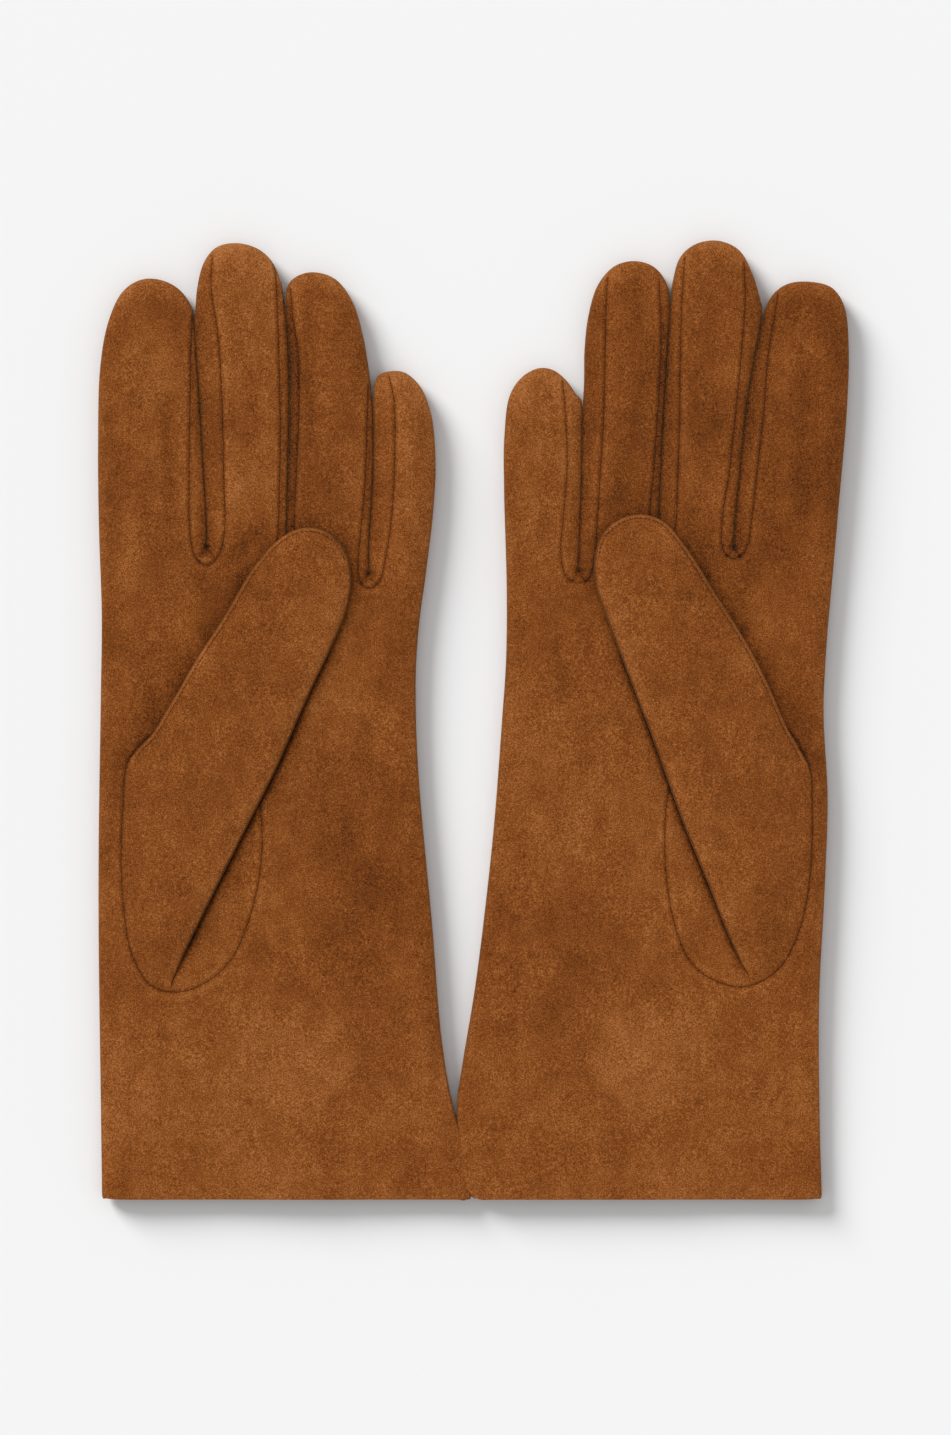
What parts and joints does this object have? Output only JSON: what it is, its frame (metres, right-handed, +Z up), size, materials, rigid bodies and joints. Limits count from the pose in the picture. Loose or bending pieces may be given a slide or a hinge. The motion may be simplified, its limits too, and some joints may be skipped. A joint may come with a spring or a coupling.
{
  "type": "pair of leather gloves",
  "caption": "Pair of lined suede gloves lying palms up with the thumbs folded in; every finger bends and each thumb folds out.",
  "frame": {"origin": "middle of the underside of the pair's box, on the surface the gloves lie on", "axes": "+X from the left glove to the right glove, +Y from the cuffs to the fingertips, +Z up out of the palms"},
  "size_m": [0.2214, 0.2828, 0.0158],
  "materials": {
    "suede": "tan brushed suede with a short nap",
    "lining_knit": "fine brown knit",
    "seam_thread": "matt brown sewing thread"
  },
  "bodies": {
    "left_hand": {"left_cuff_hem": "suede", "left_hand_lining": "lining_knit", "left_hand_stitching": "seam_thread", "left_quirk_index_middle": "suede", "left_quirk_middle_ring": "suede", "left_quirk_ring_little": "suede", "left_thumb_base": "suede", "left_trank": "suede"},
    "left_index": {"left_index_fourchette_outer": "suede", "left_index_leather": "suede", "left_index_lining": "lining_knit", "left_index_stitching": "seam_thread"},
    "left_middle": {"left_middle_fourchette_inner": "suede", "left_middle_fourchette_outer": "suede", "left_middle_leather": "suede", "left_middle_lining": "lining_knit", "left_middle_stitching": "seam_thread"},
    "left_ring": {"left_ring_fourchette_inner": "suede", "left_ring_fourchette_outer": "suede", "left_ring_leather": "suede", "left_ring_lining": "lining_knit", "left_ring_stitching": "seam_thread"},
    "left_little": {"left_little_fourchette_inner": "suede", "left_little_leather": "suede", "left_little_lining": "lining_knit", "left_little_stitching": "seam_thread"},
    "left_thumb": {"left_thumb_leather": "suede", "left_thumb_lining": "lining_knit", "left_thumb_stitching": "seam_thread"},
    "right_hand": {"right_cuff_hem": "suede", "right_hand_lining": "lining_knit", "right_hand_stitching": "seam_thread", "right_quirk_index_middle": "suede", "right_quirk_middle_ring": "suede", "right_quirk_ring_little": "suede", "right_thumb_base": "suede", "right_trank": "suede"},
    "right_index": {"right_index_fourchette_outer": "suede", "right_index_leather": "suede", "right_index_lining": "lining_knit", "right_index_stitching": "seam_thread"},
    "right_middle": {"right_middle_fourchette_inner": "suede", "right_middle_fourchette_outer": "suede", "right_middle_leather": "suede", "right_middle_lining": "lining_knit", "right_middle_stitching": "seam_thread"},
    "right_ring": {"right_ring_fourchette_inner": "suede", "right_ring_fourchette_outer": "suede", "right_ring_leather": "suede", "right_ring_lining": "lining_knit", "right_ring_stitching": "seam_thread"},
    "right_little": {"right_little_fourchette_inner": "suede", "right_little_leather": "suede", "right_little_lining": "lining_knit", "right_little_stitching": "seam_thread"},
    "right_thumb": {"right_thumb_leather": "suede", "right_thumb_lining": "lining_knit", "right_thumb_stitching": "seam_thread"}
  },
  "joints": [
    {"name": "left_index_flex", "type": "hinge", "parent": "left_hand", "child": "left_index", "pos_m": [-0.09601, 0.05565, 0.008], "axis": [1, 0, 0], "range_deg": [0, 90]},
    {"name": "left_middle_flex", "type": "hinge", "parent": "left_hand", "child": "left_middle", "pos_m": [-0.06701, 0.06165, 0.008], "axis": [1, 0, 0], "range_deg": [0, 90]},
    {"name": "left_ring_flex", "type": "hinge", "parent": "left_hand", "child": "left_ring", "pos_m": [-0.04416, 0.06165, 0.008], "axis": [1, 0, 0], "range_deg": [0, 90]},
    {"name": "left_little_flex", "type": "hinge", "parent": "left_hand", "child": "left_little", "pos_m": [-0.02126, 0.05265, 0.008], "axis": [1, 0, 0], "range_deg": [0, 90]},
    {"name": "left_thumb_fold", "type": "hinge", "parent": "left_hand", "child": "left_thumb", "pos_m": [-0.10251, -0.04035, 0.01205], "axis": [0, -1, 0], "range_deg": [0, 150]},
    {"name": "right_index_flex", "type": "hinge", "parent": "right_hand", "child": "right_index", "pos_m": [0.09734, 0.05865, 0.008], "axis": [1, 0, 0], "range_deg": [0, 90]},
    {"name": "right_middle_flex", "type": "hinge", "parent": "right_hand", "child": "right_middle", "pos_m": [0.06809, 0.06465, 0.008], "axis": [1, 0, 0], "range_deg": [0, 90]},
    {"name": "right_ring_flex", "type": "hinge", "parent": "right_hand", "child": "right_ring", "pos_m": [0.04534, 0.06465, 0.008], "axis": [1, 0, 0], "range_deg": [0, 90]},
    {"name": "right_little_flex", "type": "hinge", "parent": "right_hand", "child": "right_little", "pos_m": [0.02084, 0.05365, 0.008], "axis": [1, 0, 0], "range_deg": [0, 90]},
    {"name": "right_thumb_fold", "type": "hinge", "parent": "right_hand", "child": "right_thumb", "pos_m": [0.09939, -0.04035, 0.01205], "axis": [0, 1, 0], "range_deg": [0, 150]},
    {"name": "right_glove_lift", "type": "slide", "parent": "left_hand", "child": "right_hand", "axis": [0, 0, 1], "range_m": [0, 0.12]}
  ]
}
